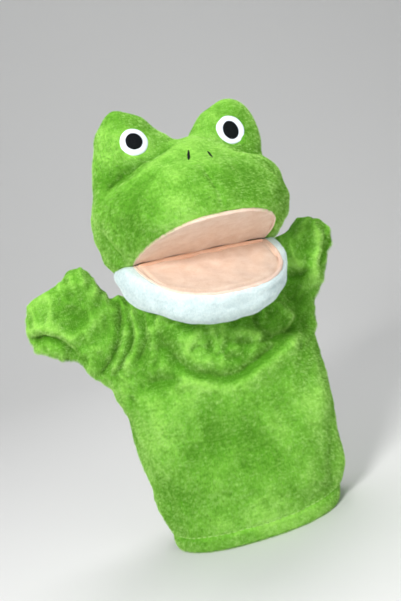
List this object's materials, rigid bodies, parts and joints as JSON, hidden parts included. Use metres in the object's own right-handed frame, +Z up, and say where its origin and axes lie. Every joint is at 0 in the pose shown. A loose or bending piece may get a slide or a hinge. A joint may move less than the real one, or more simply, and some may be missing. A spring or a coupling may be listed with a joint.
{
  "type": "hand puppet",
  "caption": "Plush frog hand puppet with a moving mouth, raised eye bumps, two stuffed arms and an open sleeve for the hand.",
  "frame": {"origin": "middle of the hand opening, in the plane of the sleeve's hem", "axes": "+Z up along the sleeve towards the head, -Y the way the frog's front faces, +X the frog's own left"},
  "size_m": [0.211, 0.1232, 0.2931],
  "materials": {
    "green_plush": "short-pile crystal plush, soft sheen",
    "white_plush": "short-pile white plush",
    "peach_felt": "napped peach cloth",
    "stiff_board": "thin stiff board, uncoated",
    "lining_cloth": "plain woven lining",
    "fibre_stuffing": "loose polyester fibre",
    "white_thread": "satin-stitch embroidery thread",
    "black_thread": "satin-stitch embroidery thread",
    "green_thread": "sewing thread"
  },
  "bodies": {
    "sleeve": {"body_front_panel": "green_plush", "body_back_panel": "green_plush", "hem_band": "green_plush", "hem_thread": "green_thread"},
    "neck": {"neck_tube": "green_plush"},
    "head": {"crown_panel": "green_plush", "muzzle_panel_left": "green_plush", "muzzle_panel_right": "green_plush", "head_back_panel": "green_plush", "throat_panel_left": "white_plush", "throat_panel_right": "white_plush", "head_stuffing": "fibre_stuffing", "upper_palate": "peach_felt", "upper_palate_board": "stiff_board", "finger_pocket": "lining_cloth", "eye_bump_front_left": "green_plush", "eye_bump_front_right": "green_plush", "eye_bump_back_left": "green_plush", "eye_bump_back_right": "green_plush", "eye_wadding_left": "fibre_stuffing", "eye_wadding_right": "fibre_stuffing", "eye_white_left": "white_thread", "eye_white_right": "white_thread", "pupil_left": "black_thread", "pupil_right": "black_thread", "nostril_left": "black_thread", "nostril_right": "black_thread"},
    "jaw": {"chin_panel": "white_plush", "lower_palate": "peach_felt", "lower_palate_board": "stiff_board", "thumb_pocket": "lining_cloth", "jaw_wadding": "fibre_stuffing", "mouth_fold": "peach_felt"},
    "arm_left": {"arm_front_left": "green_plush", "arm_back_left": "green_plush", "arm_wadding_left": "fibre_stuffing"},
    "arm_right": {"arm_front_right": "green_plush", "arm_back_right": "green_plush", "arm_wadding_right": "fibre_stuffing"}
  },
  "joints": [
    {"name": "head_turn", "type": "hinge", "parent": "sleeve", "child": "neck", "pos_m": [0.002, -0.002, 0.172], "axis": [0, 0, 1], "range_deg": [-40, 10]},
    {"name": "head_nod", "type": "hinge", "parent": "neck", "child": "head", "pos_m": [0.002, -0.002, 0.172], "axis": [0.9272, 0.3746, 0], "range_deg": [-15, 8]},
    {"name": "mouth_open", "type": "hinge", "parent": "head", "child": "jaw", "pos_m": [0.01474, -0.03352, 0.193], "axis": [0.9243, 0.362, -0.1214], "range_deg": [-48, 10]},
    {"name": "arm_left_raise", "type": "hinge", "parent": "sleeve", "child": "arm_left", "pos_m": [0.066, 0.011, 0.144], "axis": [0, -1, 0], "range_deg": [-60, 6]},
    {"name": "arm_right_raise", "type": "hinge", "parent": "sleeve", "child": "arm_right", "pos_m": [-0.06, 0, 0.15], "axis": [0, 1, 0], "range_deg": [-55, 10]}
  ]
}
